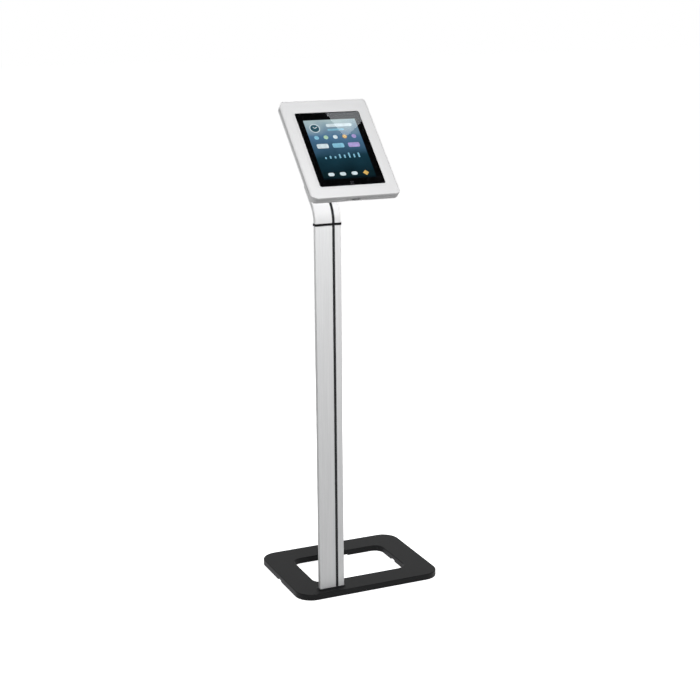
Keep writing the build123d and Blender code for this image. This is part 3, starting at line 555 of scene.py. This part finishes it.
def photo_camera(view):
    right = Vector((cos(view.yaw), -sin(view.yaw), 0))
    ahead = Vector((sin(view.yaw) * cos(view.pitch), cos(view.yaw) * cos(view.pitch), -sin(view.pitch)))
    up = right.cross(ahead)
    across = right * cos(view.roll) + up * sin(view.roll)
    upright = up * cos(view.roll) - right * sin(view.roll)
    data = bpy.data.cameras.new("photo camera")
    data.lens = view.lens
    data.sensor_width = SENSOR_WIDTH
    camera = bpy.data.objects.new("photo camera", data)
    turn = Matrix((across, upright, -ahead)).transposed().to_4x4()
    camera.matrix_world = Matrix.Translation(Vector(view.eye)) @ turn
    bpy.context.scene.collection.objects.link(camera)
    return camera


# Settings

class FinishSettings(bpy.types.PropertyGroup):
    coat_colour: bpy.props.FloatVectorProperty(
        name="Coat Colour", description="Powder coat of the neck and the enclosure",
        subtype="COLOR", size=3, min=0, max=1, default=(0.765, 0.765, 0.77))
    base_colour: bpy.props.FloatVectorProperty(
        name="Base Colour", description="Satin coat of the base",
        subtype="COLOR", size=3, min=0, max=1, default=(0.0122, 0.0125, 0.0131))
    column_colour: bpy.props.FloatVectorProperty(
        name="Column Colour", description="Anodised aluminium of the column",
        subtype="COLOR", size=3, min=0, max=1, default=(0.86, 0.865, 0.87))


class ScreenSettings(bpy.types.PropertyGroup):
    print_thickness: bpy.props.FloatProperty(
        name="Print Thickness", description="Thickness of the border and picture under the glass",
        unit="LENGTH", default=0.00004)
    button_gap: bpy.props.FloatProperty(
        name="Button Gap", description="Half the side of the border's hole for the home button",
        unit="LENGTH", default=0.0053)
    lens_gap: bpy.props.FloatProperty(
        name="Lens Gap", description="Half the side of the border's hole for the lens", unit="LENGTH",
        default=0.0018)
    thickness: bpy.props.FloatProperty(
        name="Mark Thickness", description="Thickness of the lit marks behind the glass", unit="LENGTH",
        default=0.00008)
    dial_radius: bpy.props.FloatProperty(
        name="Dial Radius", description="Radius of the clock dial", unit="LENGTH", default=0.0145)
    dial_line: bpy.props.FloatProperty(
        name="Dial Line", description="Width of the dial's rim and hands", unit="LENGTH", default=0.0022)
    disc_radius: bpy.props.FloatProperty(
        name="Disc Radius", description="Radius of the round marks", unit="LENGTH", default=0.0065)
    tile_radius: bpy.props.FloatProperty(
        name="Tile Corner", description="Corner radius of the tiles", unit="LENGTH", default=0.004)


class TrimSettings(bpy.types.PropertyGroup):
    # The seam band is a dark line of painted shade along the head's seam
    shade_band_height: bpy.props.FloatProperty(
        name="Shade Band Height", description="Height of the dark line at the seam", unit="LENGTH",
        default=0.0012)
    shade_band_width: bpy.props.FloatProperty(
        name="Shade Band Width", description="Width of the dark line at the seam", unit="LENGTH", default=0.0008)
    ring_width: bpy.props.FloatProperty(
        name="Button Ring", description="Width of the ring on the home button", unit="LENGTH",
        default=0.0005)
    ring_height: bpy.props.FloatProperty(
        name="Ring Height", description="Height of the ring on the home button", unit="LENGTH",
        default=0.0001)


class ViewSettings(bpy.types.PropertyGroup):
    eye: bpy.props.FloatVectorProperty(
        name="Eye", description="Where the camera stands", subtype="TRANSLATION", size=3,
        default=(-1.5335, -3.5032, 1.6120))
    yaw: bpy.props.FloatProperty(
        name="Yaw", description="How far the camera turns to the right", unit="ROTATION", default=0.413566)
    pitch: bpy.props.FloatProperty(
        name="Pitch", description="How far the camera looks down", unit="ROTATION", default=0.245921)
    roll: bpy.props.FloatProperty(
        name="Roll", description="How far the camera leans", unit="ROTATION", default=-0.007795)
    lens: bpy.props.FloatProperty(
        name="Lens", description="Focal length on a 36 mm sensor", unit="CAMERA", default=73.4383)


class LightSettings(bpy.types.PropertyGroup):
    room: bpy.props.FloatProperty(
        name="Room Light", description="Brightness of the room around the stand", min=0, default=0.23)
    ceiling: bpy.props.FloatProperty(
        name="Ceiling Light", description="Brightness of the room overhead", min=0, default=0.02)
    ceiling_start: bpy.props.FloatProperty(
        name="Ceiling Start", description="Height of the sky at which the ceiling begins", default=0.45)
    ceiling_fade: bpy.props.FloatProperty(
        name="Ceiling Fade", description="Height of the sky over which the ceiling darkens", default=0.3)
    floor_glow: bpy.props.FloatProperty(
        name="Floor Glow", description="Light of the floor as the camera and mirrors show it", min=0,
        default=0.93)
    floor_bounce: bpy.props.FloatProperty(
        name="Floor Bounce", description="Grey of the floor for the light that it throws up", min=0, max=1,
        default=0.15)
    key_power: bpy.props.FloatProperty(
        name="Key Power", description="Power of the lamp in front of the head", min=0, unit="POWER",
        default=33)
    side_power: bpy.props.FloatProperty(
        name="Side Power", description="Power of the lamp at the left", min=0, unit="POWER", default=0.35)
    back_power: bpy.props.FloatProperty(
        name="Back Power", description="Power of the lamp behind the stand", min=0, unit="POWER", default=30)
    glare: bpy.props.FloatProperty(
        name="Glare", description="Brightness of the card that the glass mirrors", min=0, default=3.2)


# Makers

class STAND_OT_finishes(bpy.types.Operator):
    """Gives every part of the stand its finish"""
    bl_idname = "tablet_stand.finishes"
    bl_label = "Finishes"

    def execute(self, context):
        look = context.scene.stand_finish
        finishes = (
            (powder_coat("white powder coat", look.coat_colour, roughness=0.36),
             ("neck", "enclosure_back", "enclosure_front")),
            (powder_coat("black base coat", look.base_colour, roughness=0.5, grain=800.0, depth=0.00009,
                         specular=0.12), ("base_cover",)),
            (powder_coat("hinge grey", (0.70, 0.70, 0.71), roughness=0.4), ("hinge_block",)),
            (brushed_metal("column aluminium", look.column_colour, roughness=0.42, metallic=0.1),
             ("column_post",)),
            (brushed_metal("zinc plated steel", (0.60, 0.61, 0.64), roughness=0.33, along="X"),
             ("base_ballast", "ballast_screws", "foot_plate", "foot_bolts", "spigot_bar", "spigot_screws",
              "block_screws", "tilt_plate", "tilt_pin", "tilt_nut", "pivot_bolt", "pivot_washer",
              "pivot_nut", "stop_pin", "frame_hinge_pins", "lock_cam", "cam_screw", "frame_catch",
              "catch_screws")),
            (brushed_metal("turned brass", (0.75, 0.58, 0.28), roughness=0.28, along="X"),
             ("tilt_washers", "lock_nut")),
            (brushed_metal("lock chrome", (0.82, 0.82, 0.84), roughness=0.12, along="Y"),
             ("lock_barrel", "lock_plug")),
            (moulded_plastic("black plastic", (0.016, 0.016, 0.018), roughness=0.5, specular=0.2),
             ("foot_collar", "column_strip", "neck_strip")),
            (moulded_plastic("band plastic", (0.006, 0.006, 0.007), roughness=0.5, specular=0.1),
             ("column_band",)),
            (moulded_plastic("foot rubber", (0.03, 0.03, 0.03), roughness=0.75, grain=700.0, depth=0.0001),
             ("base_feet",)),
            (moulded_plastic("glide nylon", (0.72, 0.71, 0.67), roughness=0.45), ("glide_disc",)),
            (moulded_plastic("cap plastic", (0.79, 0.79, 0.80), roughness=0.4), ("neck_cap",)),
            (moulded_plastic("home button", (0.012, 0.012, 0.014), roughness=0.2), ("home_button",)),
            (moulded_plastic("camera lens", (0.02, 0.022, 0.035), roughness=0.1), ("camera_lens",)),
            (foam("cushion foam", (0.05, 0.05, 0.055)), ("side_cushions", "back_cushions")),
            (tablet_case("tablet case"), ("tablet_body",)),
            (clear_glass("tablet glass"), ("tablet_glass",)),
            (lit_panel("display panel"), ("tablet_display",)),
        )
        for material, wearers in finishes:
            for node in wearers:
                dress(node, material)
        return {"FINISHED"}


class STAND_OT_print(bpy.types.Operator):
    """Lays the black border and the lit picture under the glass"""
    bl_idname = "tablet_stand.print"
    bl_label = "Print"

    def execute(self, context):
        look = context.scene.stand_screen
        level = LAYER_GAP - GLASS_BACK
        wide, tall = DISPLAY
        holes = ((-wide / 2, wide / 2, -tall / 2, tall / 2), square_hole(BUTTON, look.button_gap),
                 square_hole(LENS, look.lens_gap))

        def border(bm):
            cut_sheet(bm, PRINT, holes, level, look.print_thickness)

        def picture(bm):
            cut_sheet(bm, (wide - PICTURE_GAP, tall - PICTURE_GAP), (), level, look.print_thickness)

        piece("bezel_print", border, printed_black("bezel print"), "head")
        piece("screen_picture", picture, lit_panel("screen picture"), "head")
        return {"FINISHED"}


class STAND_OT_marks(bpy.types.Operator):
    """Draws the lit marks of the tablet's screen"""
    bl_idname = "tablet_stand.marks"
    bl_label = "Screen Marks"

    def execute(self, context):
        look = context.scene.stand_screen
        thick = look.thickness
        level = look.print_thickness + 2 * LAYER_GAP - GLASS_BACK
        over = level + thick
        dial = on_display(*DIAL)
        inks = {name: glowing(f"screen {name}", colour) for name, colour in MARK_COLOURS.items()}

        def mark(name, maker, ink):
            piece(f"screen_{name}", maker, inks[ink], "head")

        def clock_face(bm):
            disc(bm, dial, look.dial_radius, level, thick, sides=48)

        def clock_rim(bm):
            hoop(bm, [round_figure(bm, dial, look.dial_radius - inset, over, sides=40)
                      for inset in (0, look.dial_line)], thick)

        def clock_hands(bm):
            for turn, length in HANDS:
                middle = (dial[0] + sin(turn) * length / 2, dial[1] + cos(turn) * length / 2)
                rounded_plate(bm, middle, (look.dial_line, length), HAND_CORNER, over, thick, segments=3,
                              turn=-turn)

        def headline(bm):
            size = (HEADLINE_WIDTH * DISPLAY[0], HEADLINE_HEIGHT)
            rounded_plate(bm, on_display(*HEADLINE), size, HEADLINE_CORNER, level, thick)

        def subline(bm):
            size = (SUBLINE_WIDTH * DISPLAY[0], SUBLINE_HEIGHT)
            rounded_plate(bm, on_display(*SUBLINE), size, SUBLINE_CORNER, level, thick)

        def round_mark(place):
            return lambda bm: disc(bm, on_display(place, DISC_RISE), look.disc_radius, level, thick)

        def tile(place):
            return lambda bm: rounded_plate(bm, on_display(place, TILE_RISE), on_display(*TILE_SIZE),
                                            look.tile_radius, level, thick)

        def chart(bm):
            left, foot = on_display(*CHART_START)
            step, tallest = on_display(CHART_STEP, CHART_TALLEST)
            for bar, share in enumerate(CHART_HEIGHTS):
                height = tallest * share
                rounded_plate(bm, (left + bar * step, foot + height / 2), (BAR_WIDTH, height), BAR_CORNER,
                              level, thick, segments=3)

        def shelf(bm):
            rounded_plate(bm, on_display(*SHELF), on_display(*SHELF_SIZE), SHELF_CORNER, level, thick)

        def shelf_pills(bm):
            for place in PILL_PLACES:
                rounded_plate(bm, on_display(place, SHELF_MARK_RISE), (PILL_WIDTH * DISPLAY[0], PILL_HEIGHT),
                              PILL_CORNER, over, thick)

        def shelf_diamond(bm):
            disc(bm, on_display(DIAMOND_PLACE, SHELF_MARK_RISE), DIAMOND_RADIUS, over, thick, sides=4)

        mark("clock_face", clock_face, "deep")
        mark("clock_rim", clock_rim, "white")
        mark("clock_hands", clock_hands, "white")
        mark("headline", headline, "white")
        mark("subline", subline, "cyan")
        for number, ink in enumerate(DISC_COLOURS):
            mark(f"disc_{number + 1}", round_mark((number - 2) * DISC_STEP), ink)
        for number, ink in enumerate(TILE_COLOURS):
            mark(f"tile_{number + 1}", tile((number - 1) * TILE_STEP), ink)
        mark("chart", chart, "cyan")
        mark("shelf", shelf, "haze")
        mark("shelf_pills", shelf_pills, "white")
        mark("shelf_diamond", shelf_diamond, "amber")
        return {"FINISHED"}


class STAND_OT_trim(bpy.types.Operator):
    """Adds the head's thin trim: a dark band of painted shade along the seam and a faintly glowing ring of
    painted light on the home button
    """
    bl_idname = "tablet_stand.trim"
    bl_label = "Trim"

    def execute(self, context):
        look = context.scene.stand_trim
        # A dark band laid along the seam between the front frame and the back: painted shade standing in for
        # the shade at the seam
        seam_shade = moulded_plastic("seam painted shade", (0.12, 0.12, 0.125), roughness=0.6)
        # The ring on the home button glows faintly: painted light, since the button holds no lamp
        ring = glowing("button ring painted glow", (0.05, 0.05, 0.06), strength=0.4)

        def seam_shade_band(bm):
            level = -SEAM_DEPTH - look.shade_band_height / 2
            hoop(bm, [rounded_figure(bm, SHELL_MIDDLE, (SHELL[0] - 2 * inset, SHELL[1] - 2 * inset),
                                     SHELL_CORNER - inset, level, segments=8)
                      for inset in (0, look.shade_band_width)], look.shade_band_height)

        def button_ring(bm):
            hoop(bm, [round_figure(bm, BUTTON, BUTTON_RADIUS - inset, -BUTTON_FRONT, sides=40)
                      for inset in (0, look.ring_width)], look.ring_height)

        piece("seam_painted_shade", seam_shade_band, seam_shade, "head")
        piece("home_button_ring", button_ring, ring, "home_button")
        return {"FINISHED"}


class STAND_OT_studio(bpy.types.Operator):
    """Sets the floor, the backdrop light, the lamps and the camera"""
    bl_idname = "tablet_stand.studio"
    bl_label = "Studio"

    def execute(self, context):
        scene = context.scene
        light = scene.stand_light
        scene.view_settings.view_transform = "Standard"
        scene.world = studio_world(light)
        stage_square("studio floor", FLOOR_SIDE, Matrix.Identity(4), studio_floor(light))
        key_lamps(light.key_power)
        area_lamp("side lamp", SIDE_LAMP, light.side_power, SIDE_SPREAD)
        # The lamp behind the stand leaves no shine on the base that the camera faces
        back = area_lamp("back lamp", BACK_LAMP, light.back_power)
        back.visible_glossy = False
        glare_card(light.glare)
        scene.camera = photo_camera(scene.stand_view)
        return {"FINISHED"}


class STAND_PT_panel(bpy.types.Panel):
    """Lists the stand's settings and makers"""
    bl_idname = "STAND_PT_panel"
    bl_label = "Tablet Stand"
    bl_space_type = "VIEW_3D"
    bl_region_type = "UI"
    bl_category = "Tablet Stand"

    def draw(self, context):
        layout = self.layout
        for settings in SETTINGS:
            group = getattr(context.scene, settings)
            box = layout.box()
            for name in group.bl_rna.properties.keys():
                if name not in ("rna_type", "name"):
                    box.prop(group, name)
        for maker in MAKERS:
            layout.operator(maker.bl_idname)


SETTINGS = {
    "stand_finish": FinishSettings,
    "stand_screen": ScreenSettings,
    "stand_trim": TrimSettings,
    "stand_view": ViewSettings,
    "stand_light": LightSettings,
}
MAKERS = (STAND_OT_finishes, STAND_OT_print, STAND_OT_marks, STAND_OT_trim, STAND_OT_studio)
CLASSES = (*SETTINGS.values(), *MAKERS, STAND_PT_panel)


def register():
    for cls in CLASSES:
        bpy.utils.register_class(cls)
    for name, group in SETTINGS.items():
        setattr(bpy.types.Scene, name, bpy.props.PointerProperty(type=group))


def unregister():
    for name in SETTINGS:
        delattr(bpy.types.Scene, name)
    for cls in reversed(CLASSES):
        bpy.utils.unregister_class(cls)


def main():
    register()
    for maker in MAKERS:
        group, name = maker.bl_idname.split(".")
        getattr(getattr(bpy.ops, group), name)()


if __name__ == "__main__":
    main()
